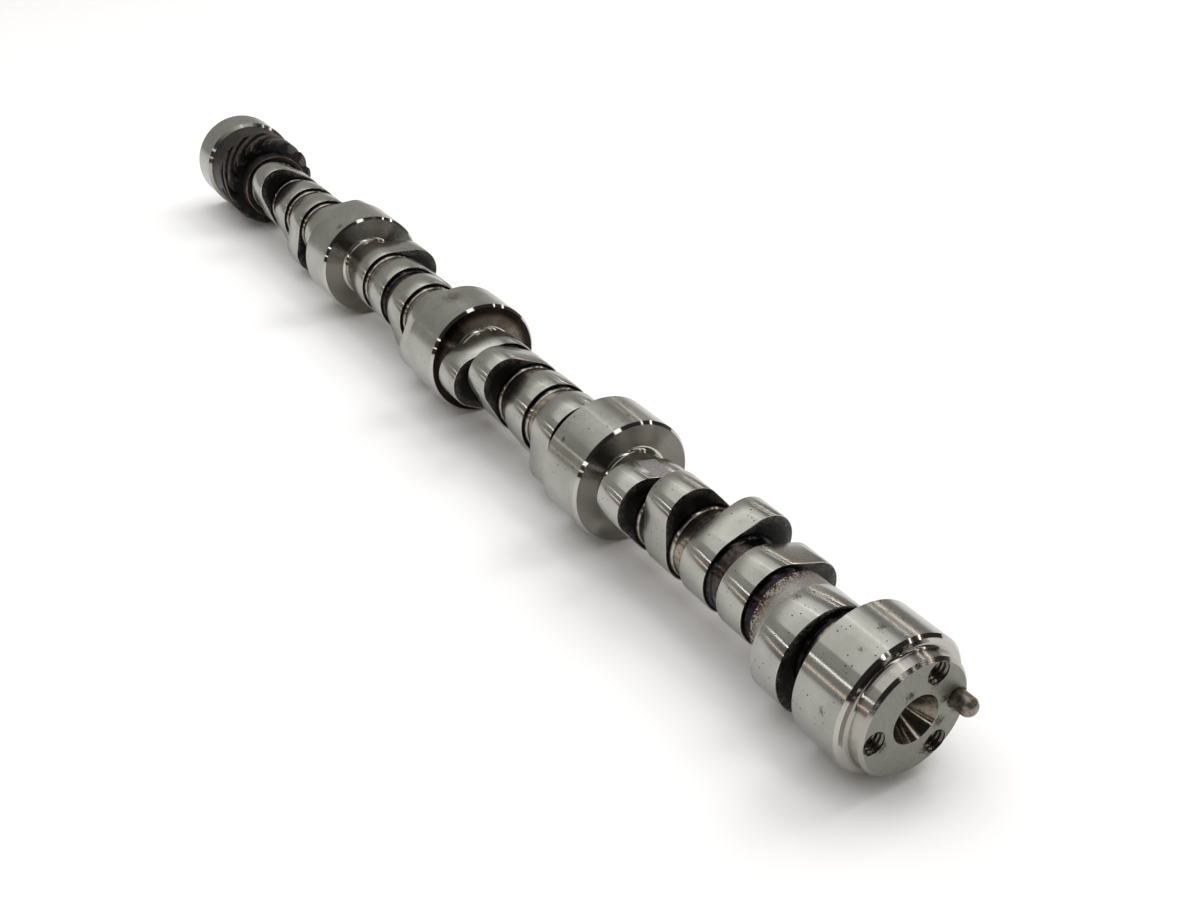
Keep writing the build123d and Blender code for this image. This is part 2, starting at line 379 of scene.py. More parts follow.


# The lobes' sides are the blackest. The gear's crests are rubbed to bronze along their edges, with a painted
# highlight there too, and its drum is a dull olive.
black = black_oxide("black_oxide", "#0B0A09", "#15120F", "#76726A")
gear_black = black_oxide("gear_black_oxide", "#0B0B0B", "#1A1714", "#7C6A58", spread=0.3, sharpness=4.0)
drum_black = black_oxide("drum_oxide", "#0E0E0B", "#2B281E", "#3A382C")
print("blacks", black.name, gear_black.name, drum_black.name)

# %% [markdown]
# ## Necks
# The necks were turned before the heat treatment and were never ground. They are glossy and dark: black
# where the scale of a lobe's side runs onto them, bronze-brown beside that, grey steel in the middle, with
# rust specks. Three necks in front of the journals are polished bright. The attribute "finish" holds
# how black, how rusty and how polished the bar is at each place.


# %% Turned necks
def read_finish(tree):
    """How black, how rusty and how polished the bar is at a place, as red, green and blue."""
    stored = add(tree, "ShaderNodeAttribute", {"attribute_name": "finish"})
    return add(tree, "ShaderNodeSeparateColor", links={"Color": stored.outputs["Color"]}).outputs


neck_steel, tree, surface, place = start("turned_neck", anisotropy=0.7)
here = read_finish(tree)
shifted = add(tree, "ShaderNodeMath", {"operation": "MULTIPLY_ADD", 1: 0.3, 2: -0.15},
              {0: patches(tree, place, 1.6, 0.3, 0.7)})
sooty = add(tree, "ShaderNodeMath", {"operation": "ADD"}, {0: here["Red"], 1: shifted.outputs[0]})
# From clean steel through bronze and blue-black to the black of the scale.
scale_stops = [(0.0, "#B0ADA4"), (0.3, "#84796B"), (0.5, "#4A4038"), (0.66, "#2A292D"), (1.0, "#0F0F10")]
tone = add(tree, "ShaderNodeValToRGB", {"stops": scale_stops}, {"Fac": sooty.outputs[0]})
rusty = add(tree, "ShaderNodeMath", {"operation": "MULTIPLY"},
            {0: here["Green"], 1: patches(tree, place, 0.9, 0.56, 0.64)})
rusted = add(tree, "ShaderNodeMix", {"data_type": "RGBA", 7: linear("#5C3C25")},
             {0: rusty.outputs[0], 6: tone.outputs[0]})
bright = add(tree, "ShaderNodeMix", {"data_type": "RGBA", 7: linear("#BDBAB2")},
             {0: here["Blue"], 6: rusted.outputs[2]})
tree.links.new(bright.outputs[2], surface.inputs["Base Color"])
gloss = add(tree, "ShaderNodeMapRange", {"To Min": 0.12, "To Max": 0.3}, {"Value": marks(tree, place, 0.4, 9)})
smooth = add(tree, "ShaderNodeMix", {"data_type": "FLOAT", 3: 0.10},
             {0: here["Blue"], 2: gloss.outputs[0]})
tree.links.new(smooth.outputs[0], surface.inputs["Roughness"])
print("material", neck_steel.name)

# %% [markdown]
# ## The bare bar
# Behind the eccentric the bar keeps its full size for a short way. It was left as it came from the lathe:
# pale grey, dull and finely mottled, with rust towards the first lobe. It reads the same attribute.

# %% The bare bar
bar_steel, tree, surface, place = start("turned_bar", anisotropy=0.4)
tone = add(tree, "ShaderNodeMix", {"data_type": "RGBA", 6: linear("#8C8A84"), 7: linear("#A6A49E")},
           {0: patches(tree, place, 0.5, 0.35, 0.65)})
rusty = add(tree, "ShaderNodeMath", {"operation": "MULTIPLY"},
            {0: read_finish(tree)["Green"], 1: patches(tree, place, 0.8, 0.46, 0.52)})
rusted = add(tree, "ShaderNodeMix", {"data_type": "RGBA", 7: linear("#4A2E1A")},
             {0: rusty.outputs[0], 6: tone.outputs[2]})
tree.links.new(rusted.outputs[2], surface.inputs["Base Color"])
gloss = add(tree, "ShaderNodeMapRange", {"To Min": 0.42, "To Max": 0.6},
            {"Value": patches(tree, place, 0.6, 0.3, 0.7)})
tree.links.new(gloss.outputs[0], surface.inputs["Roughness"])
print("material", bar_steel.name)

# %% [markdown]
# ## Polished and turned steel
# The chamfers are polished and mirror the dark room and its strips. The journals' sides were turned with
# a fine feed, which spreads each lamp outwards into a ray. Where oil dried on them they are brown. One
# function makes them all, because they differ only in their colours by radius, their gloss and their rust.


# %% Polished and turned steel
def turned_steel(name, stops, low, high, anisotropy=0.0, rust=0.0, stains=(), groove=0.0, metallic=1.0):
    """Bright steel: colours by the distance from the axis, where 1 is 24 mm, and a range of roughness."""
    material, tree, surface, place = start(name, metallic, anisotropy)
    flat = add(tree, "ShaderNodeVectorMath", {"operation": "MULTIPLY", 1: (0.0, 1.0, 1.0)}, {0: place})
    out = add(tree, "ShaderNodeVectorMath", {"operation": "LENGTH"}, {0: flat.outputs[0]})
    share = add(tree, "ShaderNodeMapRange", {"From Max": 24 * MM}, {"Value": out.outputs["Value"]})
    rings = add(tree, "ShaderNodeValToRGB", {"stops": stops}, {"Fac": share.outputs[0]})
    spots = add(tree, "ShaderNodeMath", {"operation": "MULTIPLY", 1: rust},
                {0: patches(tree, place, 1.3, 0.5, 0.62)})
    colour = add(tree, "ShaderNodeMix", {"data_type": "RGBA", 7: linear("#3D2C1E")},
                 {0: spots.outputs[0], 6: rings.outputs["Color"]})
    tree.links.new(stained(tree, place, colour.outputs[2], stains), surface.inputs["Base Color"])
    gloss = add(tree, "ShaderNodeMapRange", {"To Min": low, "To Max": high},
                {"Value": patches(tree, place, 2.5, 0.3, 0.7)})
    tree.links.new(gloss.outputs[0], surface.inputs["Roughness"])
    if groove:
        # The tool's spiral, 0.3 mm apart where the real feed is about 0.1 mm, so that it shows.
        phase = add(tree, "ShaderNodeMath", {"operation": "MULTIPLY", 1: 2 * pi / (0.3 * MM)},
                    {0: out.outputs["Value"]})
        wave = add(tree, "ShaderNodeMath", {"operation": "SINE"}, {0: phase.outputs[0]})
        tool = add(tree, "ShaderNodeBump", {"Strength": 1.0, "Distance": groove * MM},
                   {"Height": wave.outputs[0]})
        tree.links.new(tool.outputs[0], surface.inputs["Normal"])
    return material


# Polished with a fine stone: a mirror, nearly without colour of its own.
polished = turned_steel("polished_chamfer", [(0.0, "#B2AFA9"), (1.0, "#B2AFA9")], 0.05, 0.09, 0.3)
# A journal's side: finely turned, with a brown edge against the chamfer.
turned = turned_steel("turned_face", [(0.0, "#8F8C84"), (0.93, "#86847C"), (0.955, "#5B4F41")],
                      0.20, 0.23, 0.8, rust=0.04, groove=0.05)
# The middle journal's side: oil has dried black on its outer third.
oiled = turned_steel("oiled_face", [(0.6, "#8F8A81"), (0.74, "#7D7568"), (0.80, "#54463A"), (0.85, "#1F1A16"),
                                    (0.95, "#1D1A17")], 0.20, 0.23, 0.8, rust=0.55, groove=0.045)
print("sides", polished.name, turned.name, oiled.name)

# %% [markdown]
# ## Steel of the nose and the gear's end
# The nose's step is turned bright, and its face is ground flat and dull, so it mirrors the room as one even
# grey, with stains beside its holes. The holes and threads are a brownish grey, and look darker because
# little light gets in. The bevel of the gear's shoulder is bronze where the scale is rubbed thin.

# %% Nose, holes and bevels
nose_turned = turned_steel("turned_nose", [(0.0, "#A09D96"), (1.0, "#A09D96")], 0.14, 0.2, 0.9, rust=0.05)
nose_stains = (
    (0, 156, 14.5, 5.5), (0, 150, 17.5, 4.5), (0, 118, 10.5, 4.5), (0, 30, 12.0, 3.5), (0, 250, 13.0, 4.5),
    (0, 262, 18.5, 3.0), (0, 340, 10.5, 4.0), (0, 75, 10.5, 3.5), (0, 100, 15.5, 3.5))
nose_face = turned_steel("ground_nose_face", [(0.0, "#888981"), (1.0, "#86877E")], 0.42, 0.52, 0.3,
                         rust=0.12, stains=nose_stains)
# The cone was cut by a drill whose marks run round it, so lamps spread into bright rays down the cone.
# Its colour darkens towards the axis: painted shade deep in the cone and the drilled hole.
bore_steel = turned_steel("drilled_bore", [(0.0, "#544E45"), (0.25, "#7D766A"), (1.0, "#7D766A")],
                          0.16, 0.22, 0.97, rust=0.6)
thread_steel = turned_steel("cut_thread", [(0.0, "#6E6A62"), (1.0, "#6E6A62")], 0.16, 0.3, rust=0.35)
# Hardened and worn: a brownish grey with soft, broad lights.
pin_steel = turned_steel("dowel_pin_steel", [(0.0, "#8B837A"), (1.0, "#8B837A")], 0.30, 0.44, rust=0.6)
bronzed = turned_steel("bronzed_edge", [(0.0, "#6B5644"), (1.0, "#6B5644")], 0.16, 0.3, 0.3, rust=0.4)
# The bevelled ends of the gear's teeth are pale and hardly metallic: a painted highlight for the light they
# catch.
tooth_bevel = turned_steel("tooth_bevel", [(0.0, "#B5B2A8"), (1.0, "#B5B2A8")], 0.40, 0.55, 0.2,
                           rust=0.3, metallic=0.2)
print("steels", nose_turned.name, nose_face.name, bore_steel.name, pin_steel.name, tooth_bevel.name)

# %% [markdown]
# ## Turning a piece
# A lathe makes a round piece from a half outline. Blender's spin does the same: a few vertices joined by
# edges are spun about the shaft's axis, and corners are then rounded with a bevel.

# %% Placing and turning
STEPS = 156  # steps around the shaft, a whole number for each tooth of the gear


def across(x, angle=0.0, away=0.0):
    """Sets a flat drawing across the shaft at x: its +X points to the angle and its +Z to the nose."""
    up, nose = towards(angle), Vector((1, 0, 0))
    side = nose.cross(up)
    spot = nose * x * MM + up * away * MM
    return Matrix.Translation(spot) @ Matrix((up, side, nose)).transposed().to_4x4()


def radius(vertex):
    """Distance of a vertex from the shaft's axis, in millimetres."""
    return (vertex.co.y ** 2 + vertex.co.z ** 2) ** 0.5 / MM


def turn(outline):
    """Spins an outline of (x, radius) points in millimetres about the shaft's axis."""
    bm = bmesh.new()
    drawn = [bm.verts.new((x * MM, 0, r * MM)) for x, r in outline]
    for one, two in zip(drawn, drawn[1:]):
        bm.edges.new((one, two))
    bmesh.ops.spin(bm, geom=bm.verts[:] + bm.edges[:], cent=(0, 0, 0), axis=(1, 0, 0),
                   angle=2 * pi, steps=STEPS, use_merge=True)
    bmesh.ops.remove_doubles(bm, verts=bm.verts, dist=1e-7)
    bmesh.ops.recalc_face_normals(bm, faces=bm.faces)
    return bm


print("one step around the shaft is", round(360 / STEPS, 2), "degrees")

# %% [markdown]
# ## Finishing a piece
# Machined steel is smooth where it curves and sharp where two cuts meet, and the light shows both. Corners
# are found by where they are, rounded with a bevel, and every other edge is marked sharp by its angle. A
# finished piece rides on the root, the shaft's only body, and stands for one CAD node.


# %% Rounding, painting and finishing
def ring(bm, x, r):
    """Edges of the circle at x and a radius, to a hundredth of a millimetre."""
    on_it = {v for v in bm.verts if abs(v.co.x / MM - x) < 0.01 and abs(radius(v) - r) < 0.01}
    return [e for e in bm.edges if all(v in on_it for v in e.verts)]


def round_off(bm, edges, size, segments):
    """Rounds edges by a size in millimetres."""
    bmesh.ops.bevel(bm, geom=edges, offset=size * MM, offset_type="OFFSET", segments=segments, profile=0.5,
                    affect="EDGES", material=-1, clamp_overlap=True)


def paint(bm, number, test):
    """Gives a material number to the faces that pass a test."""
    for face in bm.faces:
        if test(face):
            face.material_index = number


SHARP = radians(25)  # two faces that meet at more than this make a sharp edge


def finish(name, bm, materials, slot="camshaft"):
    """Makes a finished piece of a bmesh, for a CAD node; the node and its material slot share a name."""
    for face in bm.faces:
        face.smooth = True
    for edge in bm.edges:
        edge.smooth = len(edge.link_faces) == 2 and edge.calc_face_angle(0.0) < SHARP
    mesh = bpy.data.meshes.new(name)
    bm.to_mesh(mesh)
    bm.free()
    for material in materials:
        mesh.materials.append(material)
    piece = bpy.data.objects.new(name, mesh)
    bpy.context.collection.objects.link(piece)
    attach(piece, "root")
    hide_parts(slot)
    print(name, len(mesh.vertices), "vertices,", sum(len(p.vertices) - 2 for p in mesh.polygons), "triangles")


print("an edge is sharp from", round(SHARP * 180 / pi), "degrees")

# %% [markdown]
# ## Places along the shaft
# A collar is anything that is wider than the bar: a journal, a lobe, the eccentric or the gear. Their places
# come first, as x and length in millimetres, because the gaps between them follow. The lobes' angles follow
# from the firing order: each firing turns the shaft an eighth, the two rows of lifters stand 82 degrees
# apart, and a cylinder's intake lobe comes 109.6 degrees from its exhaust lobe.

# %% Places along the shaft
journals = {
    "front": (-15.95, 17.9), "second": (-155.15, 20.6), "middle": (-266.91, 20.6),
    "fourth": (-378.67, 20.6), "rear": (-538.1, 16.2),
}
lobe_width = 12.7
firing_order = (1, 8, 4, 3, 6, 5, 7, 2)
lobe_xs = (-66.95, -86.75, -107.15, -126.85, -183.45, -203.15, -223.55, -243.35,
           -290.47, -310.27, -330.67, -350.37, -406.97, -426.67, -447.07, -466.87)
lobe_valves = ("1E", "2E", "1I", "2I", "3I", "4I", "3E", "4E", "5E", "6E", "5I", "6I", "7I", "8I", "7E", "8E")
first_exhaust, rows_apart, lobes_apart = 88.3, 82.0, 109.6  # degrees
eccentric_x, eccentric_width = -41.8, 12.4
eccentric_rear = eccentric_x - eccentric_width / 2
land_rear, shaft_rear = -56.1, -547.2  # from the eccentric to land_rear the bar keeps its full size
shoulder_front, gear_front, gear_width = -490.2, -497.9, 17.1


def lobe_angle(valve):
    """Angle of the tip of a valve's lobe, clockwise from the top as seen from the nose."""
    cylinder = int(valve[0])
    angle = first_exhaust - 45 * firing_order.index(cylinder) - (rows_apart if cylinder % 2 == 0 else 0)
    return (angle - (lobes_apart if valve[1] == "I" else 0)) % 360


print("tips point to", [round(lobe_angle(valve)) for valve in lobe_valves])

# %% [markdown]
# ## The bar and its necks
# Everything stands on one bar. A neck is turned into it in each gap between two collars, with round
# corners so that no crack starts there. A lathe makes this from one outline, so the gaps are worked out
# first, then the outline, and then its corners are bevelled.

# %% Gaps between the collars
collars = [(eccentric_x + eccentric_width / 2, land_rear)]
collars += [(x + lobe_width / 2, x - lobe_width / 2) for x in lobe_xs]
for name in ("second", "middle", "fourth"):
    x, length = journals[name]
    collars.append((x + length / 2 + 1.0, x - length / 2 - 1.0))
collars.append((-24.0, -25.3))  # the bar starts just inside the front journal, whose rear side is at -25.3
collars.append((shoulder_front, shaft_rear))
collars.sort(reverse=True)
gaps = [(rear, front) for (_, rear), (front, _) in zip(collars, collars[1:])]
widths = sorted(round(rear - front, 2) for rear, front in gaps)
print(len(gaps), "gaps, from", widths[0], "to", widths[-1], "mm")

# %% The bar
bar_radius, neck_radius = 15.0, 13.0
hidden_radius = 14.6  # inside the collars, where the bar must not show beside a lobe
tuck = 0.02           # how far a neck's sides are tucked into the collars beside it
corner = 1.58         # radius of a neck's corners
corner_room = 1.8     # the part of a neck that each corner takes
station = 0.8         # distance of the vertices along a neck, which carry its finish
bar_rear = -492.0     # just inside the gear's shoulder
outline = [(collars[0][0], 0), (collars[0][0], hidden_radius)]
for rear, front in gaps:
    if rear == land_rear:
        # The bare bar has vertices of its own, which carry its rust.
        outline += [(x, bar_radius) for x in (-46.0, -48.5, -50.0, -51.5, -53.0, -54.5, -55.6)]
    outline += [(rear + tuck, bar_radius if rear == land_rear else hidden_radius), (rear + tuck, neck_radius)]
    straight = rear - front - 2 * corner_room
    steps = max(1, round(straight / station))
    outline += [(rear - corner_room - k * straight / steps, neck_radius) for k in range(steps + 1)]
    outline += [(front - tuck, neck_radius), (front - tuck, hidden_radius)]
outline += [(bar_rear, hidden_radius), (bar_rear, 0)]
bm = turn(outline)
places = {x for rear, front in gaps for x in (rear + tuck, front - tuck)}
corners = [edge for x in places for edge in ring(bm, x, neck_radius)]
round_off(bm, corners, corner, 6)
print("the bar has", len(bm.faces), "faces and", len(corners) // STEPS, "rounded corners")

# %% [markdown]
# ## The bar's finish
# The bar's colour follows what is beside each place, which no noise can know. So every vertex gets three
# numbers, kept as a colour: how black the scale is, how rusty, and how polished. Seen from a collar's rear
# side, a neck starts bronze with rust specks, turns to grey steel, and ends blue-black at the next collar.

# %% How black, rusty and polished the bar is
finishes = bm.verts.layers.float_color.new("finish")
dark_necks = (2, 6, 9, 13, 15)  # numbers of the necks that are blue-black all over
bright_fronts = [journals[name][0] + journals[name][1] / 2 + 1.0 for name in ("second", "middle", "fourth")]
for vertex in bm.verts:
    x = vertex.co.x / MM
    soot, rust, bright = 0.15, 0.0, 0.0
    for number, (rear, front) in enumerate(gaps):
        if front - 0.05 < x < rear + 0.05:
            from_here, to_next = rear - x, x - front  # distances from the collar in front and to the next
            base = 0.58 if number in dark_necks else 0.05 + 0.05 * to_next
            # The scale fades within a millimetre of the next collar, bronze and rust over 1 to 3 mm.
            soot = max(1.3 - to_next / 0.5, 0.8 - from_here / 1.6, base)
            rust = max(0.0, 0.9 - from_here / 2.5)
            if front in bright_fronts:
                soot, rust, bright = 0.0, 0.0, 1.0
            elif rear == land_rear:
                soot, rust = max(0.78, 1.3 - to_next / 0.6), 0.6
            elif number == 0:
                # The first neck is polished behind the front journal and black at the eccentric.
                soot, rust = max(0.0, 1.3 - to_next / 2.6), 0.1
                bright = min(1.0, max(0.0, (to_next - 2.6) / 1.2))
    if land_rear - 0.05 < x < eccentric_rear:
        soot, rust = 0.2, max(0.0, (-51.5 - x) / 3.6)  # the bare bar: rust grows towards its rear
    vertex[finishes] = (min(soot, 1.0), rust, bright, 1.0)
paint(bm, 1, lambda face: land_rear - 0.01 < face.calc_center_median().x / MM < eccentric_rear)
finish("shaft_bar", bm, [neck_steel, bar_steel])

# %% [markdown]
# ## Journals
# Five journals of one diameter carry the shaft. Each is a ground land between two chamfers, most of them
# polished, and its sides are turned. Spinning one outline gives all of that at its size, where a cylinder
# would need its edges found and bevelled. The front one is made with the nose, because the bolt holes run
# through both.

# %% Journals behind the front one
drill_radius = 2.5  # of the centre holes in both ends
rear_mouth = 4.0    # radius of the rear one's cone at its mouth


def make_journal(name):
    """A ground land with 1 mm chamfers and turned sides; the rear one's front chamfer is wider."""
    x, length = journals[name]
    front, rear = x + length / 2, x - length / 2
    wide = 1.5 if name == "rear" else 1.0
    centre = [(rear - 1, 0)]
    if name == "rear":
        # The shaft's rear end has a lathe centre: a cone of 60 degrees with a small drilled hole.
        centre = [(rear - 1, rear_mouth), (rear + 1.6, drill_radius), (rear + 8, drill_radius), (rear + 8, 0)]
    bm = turn([(front + 1, 0), (front + 1, journal_radius - wide), (front + 1 - wide, journal_radius),
               (rear, journal_radius), (rear - 1, journal_radius - 1)] + centre)
    paint(bm, 1, lambda face: 0.3 < abs(face.normal.x) < 0.9)
    paint(bm, 2, lambda face: abs(face.normal.x) > 0.9)
    paint(bm, 3, lambda face: max(radius(v) for v in face.verts) < rear_mouth + 0.01)
    chamfer = nose_turned if name == "rear" else polished
    side = oiled if name == "middle" else turned
    finish(name + "_journal", bm, [journal_steel, chamfer, side, bore_steel])


for name in ("second", "middle", "fourth", "rear"):
    make_journal(name)

# %% [markdown]
# ## One threaded hole
# The nose carries the timing gear on three bolts, in 5/16 inch holes with 18 threads to the inch. One V of
# the thread is spun down a helix, as a tap cuts it, because a drawn thread would look flat at the mouth.
# The helix is then cut off at the face and at the bottom, and the countersink pushes back its first crests.

# %% One threaded hole
thread_pitch, thread_tip, thread_root = 1.411, 3.35, 3.93
thread_depth, mouth_radius = 20.0, 3.99
hole = bmesh.new()
# One V as (distance down the hole, radius): up a flank, along the flat tip, down a flank, along the root.
vee = [(0.0, thread_root), (0.52, thread_tip), (0.85, thread_tip), (1.37, thread_root),
       (thread_pitch, thread_root)]
drawn = [hole.verts.new(((thread_pitch - down) * MM, 0, r * MM)) for down, r in vee]
for one, two in zip(drawn, drawn[1:]):
    hole.edges.new((one, two))
turns, around = 16, 48
bmesh.ops.spin(hole, geom=hole.verts[:] + hole.edges[:], cent=(0, 0, 0), axis=(-1, 0, 0), angle=2 * pi * turns,
               steps=turns * around, dvec=(-thread_pitch * MM / around, 0, 0))
bmesh.ops.remove_doubles(hole, verts=hole.verts, dist=2e-6)
for plane, outwards in ((0.0, (1, 0, 0)), (-thread_depth * MM, (-1, 0, 0))):
    bmesh.ops.bisect_plane(hole, geom=hole.verts[:] + hole.edges[:] + hole.faces[:], dist=1e-7,
                           plane_co=(plane, 0, 0), plane_no=outwards, clear_outer=True)
for vertex in hole.verts:
    cone = mouth_radius + vertex.co.x / MM
    if radius(vertex) < cone:
        grow = cone / radius(vertex)
        vertex.co.y *= grow
        vertex.co.z *= grow
bottom = [e for e in hole.edges if e.is_boundary and all(v.co.x < (0.01 - thread_depth) * MM for v in e.verts)]
bmesh.ops.holes_fill(hole, edges=bottom, sides=0)
thread_mesh = bpy.data.meshes.new("thread")
hole.to_mesh(thread_mesh)
print("thread of", len(hole.faces), "faces")
hole.free()

# %% [markdown]
# ## Nose and front journal
# The nose is turned with the front journal, so they are one piece. A boolean could cut the holes, but here
# each hole shares its rim's vertices with the face. The spin leaves the front open, the threads and the rims
# of the dowel's seat and of the centre go in, the flat face is filled between all the rims, and those two
# rims are extruded into the steel.

# %% Nose, turned, with its threads
nose_radius, nose_length, nose_bevel, nose_corner = 20.0, 6.0, 1.1, 1.2
bolt_circle, bolt_angles, dowel_angle = 15.24, (24.0, 144.0, 264.0), 86.0
x, length = journals["front"]
front, rear = x + length / 2, x - length / 2
bm = turn([(0, nose_radius - nose_bevel), (-nose_bevel, nose_radius), (-nose_length, nose_radius),
           (-nose_length, journal_radius - 1), (front, journal_radius), (rear, journal_radius),
           (rear - 0.4, journal_radius - 0.4), (rear - 0.4, 0)])
round_off(bm, ring(bm, -nose_length, nose_radius), nose_corner, 6)
for angle in bolt_angles:
    before = set(bm.verts)
    bm.from_mesh(thread_mesh)
    new = [v for v in bm.verts if v not in before]
    bmesh.ops.translate(bm, verts=new, vec=towards(angle) * bolt_circle * MM)
print("nose and journal have", len(bm.faces), "faces")

# %% The nose's flat face
pin_radius, seat_mouth, centre_radius = 3.175, 0.4, 8.3
dowel = bmesh.ops.create_circle(bm, segments=48, radius=(pin_radius + seat_mouth) * MM,
                                matrix=across(0, dowel_angle, bolt_circle))["verts"]
centre = bmesh.ops.create_circle(bm, segments=64, radius=centre_radius * MM, matrix=across(0))["verts"]
dowel_rim = list({e for v in dowel for e in v.link_edges})
centre_rim = list({e for v in centre for e in v.link_edges})
rims = [e for e in bm.edges if (e.is_boundary or e.is_wire) and all(abs(v.co.x) < 1e-6 for v in e.verts)]
filled = bmesh.ops.triangle_fill(bm, use_beauty=True, edges=rims, normal=(1, 0, 0))
print("nose face filled with", sum(isinstance(g, bmesh.types.BMFace) for g in filled["geom"]), "triangles")


# %% The dowel's seat and the centre
def sink(bm, rim, spot, steps):
    """Extrudes a rim into the face by steps: each is a depth and the share of its radius that is left."""
    for depth, share in steps:
        made = bmesh.ops.extrude_edge_only(bm, edges=rim)["geom"]
        verts = [g for g in made if isinstance(g, bmesh.types.BMVert)]
        rim = [g for g in made if isinstance(g, bmesh.types.BMEdge)]
        bmesh.ops.translate(bm, verts=verts, vec=(-depth * MM, 0, 0))
        bmesh.ops.scale(bm, verts=verts, vec=(1, share, share), space=Matrix.Translation(-spot))
    bmesh.ops.holes_fill(bm, edges=rim, sides=0)


seat_depth, drill_depth = 14.0, 7.9
cone_depth = (centre_radius - drill_radius) / tan(radians(30))  # the cone's full angle is 60 degrees
sink(bm, dowel_rim, towards(dowel_angle) * bolt_circle * MM,
     ((seat_mouth, pin_radius / (pin_radius + seat_mouth)), (seat_depth - seat_mouth, 1.0)))
sink(bm, centre_rim, Vector((0, 0, 0)), ((cone_depth, drill_radius / centre_radius), (drill_depth, 1.0)))
bmesh.ops.remove_doubles(bm, verts=bm.verts, dist=1e-7)
bmesh.ops.recalc_face_normals(bm, faces=bm.faces)
print("the cone is", round(cone_depth, 2), "mm deep")

# %% Finishes of the nose
chamfer_front, chamfer_rear = -5.9, -7.1  # the journal's front chamfer lies between these
hole_reach = 4.1                          # just wider than the mouth of a hole
paint(bm, 1, lambda face: face.calc_center_median().x > chamfer_front * MM)
paint(bm, 2, lambda face: face.normal.x > 0.99 and face.calc_center_median().x > -0.1 * MM)
paint(bm, 3, lambda face: max(radius(v) for v in face.verts) < centre_radius + 0.01)
for angle in bolt_angles + (dowel_angle,):
    spot = towards(angle) * bolt_circle * MM
    paint(bm, 5, lambda face: face.normal.x < 0.99
          and all((v.co - spot).yz.length < hole_reach * MM for v in face.verts))
paint(bm, 4, lambda face: chamfer_rear * MM < face.calc_center_median().x < chamfer_front * MM)
finish("nose_and_front_journal", bm,
       [journal_steel, nose_turned, nose_face, bore_steel, polished, thread_steel])

# %% [markdown]
# ## Lobes and the pump's eccentric
# A lobe is a round base with its tip pulled out: the vertices on that side are shrunk to the tip's circle
# and moved out. What joins the two circles then is flat and touches both. The real flanks follow a lift
# curve, which the photograph doesn't show. One extrude gives the width, and a small bevel breaks the edges.
# The fuel pump's eccentric is a plain disc set off the axis, made by the same function.

# %% One lobe
lobe_base, lobe_tip, lobe_reach = 15.0, 11.0, 23.05
eccentric_radius, throw, eccentric_angle = 19.0, 3.73, 212.0
broken_edge, rubbed_band = 0.35, 3.0
ground_finishes = {"lobe_2_intake": scuffed_steel, "pump_eccentric": eccentric_steel}


def make_lobe(name, x, angle, base, tip, reach, width, away=0.0):
    """A lobe of a base radius, whose tip circle reaches out at an angle."""
    bm = bmesh.new()
    bmesh.ops.create_circle(bm, cap_ends=True, segments=STEPS, radius=base * MM)
    if reach > base:
        out = reach - tip
        spread = acos((base - tip) / out)
        front = [v for v in bm.verts if abs(atan2(v.co.y, v.co.x)) < spread]
        bmesh.ops.scale(bm, verts=front, vec=(tip / base, tip / base, 1))
        bmesh.ops.translate(bm, verts=front, vec=(out * MM, 0, 0))
    made = bmesh.ops.extrude_face_region(bm, geom=bm.faces[:])["geom"]
    rear_side = [g for g in made if isinstance(g, bmesh.types.BMVert)]
    bmesh.ops.translate(bm, verts=rear_side, vec=(0, 0, -width * MM))
    bmesh.ops.transform(bm, matrix=across(x + width / 2, angle, away), verts=bm.verts)
    bmesh.ops.recalc_face_normals(bm, faces=bm.faces)
    rims = [e for e in bm.edges if e.calc_face_angle(0.0) > radians(60)]
    round_off(bm, rims, broken_edge, 2)
    paint(bm, 1, lambda face: 0.1 < abs(face.normal.x) < 0.98)
    paint(bm, 2, lambda face: abs(face.normal.x) > 0.98)
    # The rubbed band along each rim: an inset ring whose inner vertices count as unworn.
    rim = bm.verts.layers.float.new("rim")
    sides = [f for f in bm.faces if len(f.verts) > 8]
    bmesh.ops.inset_region(bm, faces=sides, thickness=rubbed_band * MM, depth=0.0)
    inner = {v for f in bm.faces if len(f.verts) > 8 for v in f.verts}
    for vertex in bm.verts:
        vertex[rim] = 0.0 if vertex in inner else 1.0
    finish(name, bm, [ground_finishes.get(name, steel), polished, black])


print("lift of a lobe in mm", round(lobe_reach - lobe_base, 2))

# %% Sixteen lobes and the eccentric
for x, valve in zip(lobe_xs, lobe_valves):
    kind = "exhaust" if valve[1] == "E" else "intake"
    make_lobe(f"lobe_{valve[0]}_{kind}", x, lobe_angle(valve), lobe_base, lobe_tip, lobe_reach, lobe_width)
make_lobe("pump_eccentric", eccentric_x, eccentric_angle, eccentric_radius, eccentric_radius, eccentric_radius,
          eccentric_width, away=throw)

# %% [markdown]
# ## Drive gear
# The gear that drives the distributor is cut with helical teeth, whose section is the same all along. So a
# toothed ring is extruded step by step and turned a little at each step. Twelve vertices make one tooth:
# five on its tip, one on each flank and five in the root. The front is then bevelled by drawing in all that
# stands outside a cone.

# %% The gear's outline
teeth, tip_radius, flank_radius, root_radius = 13, 22.9, 20.9, 18.5
gear_lead, gear_chamfer, first_tooth = 98.0, 1.6, -30.0  # the lead is the length of one whole turn of a tooth
bm = bmesh.new()
bmesh.ops.create_circle(bm, cap_ends=True, segments=STEPS, radius=MM)
per_tooth = STEPS // teeth
rim = bm.verts.layers.float.new("rim")
around = sorted(bm.verts, key=lambda v: atan2(v.co.y, v.co.x) % (2 * pi))
shape = [tip_radius] * 3 + [flank_radius] + [root_radius] * 5 + [flank_radius] + [tip_radius] * 2
for k, vertex in enumerate(around):
    vertex.co *= shape[k % per_tooth]
    # The two corners of each crest are rubbed to bronze, and the bronze also paints a highlight along each
    # crest edge.
    vertex[rim] = 1.0 if k % per_tooth in (2, 10) else 0.0
print("gear ring has", len(around), "vertices")

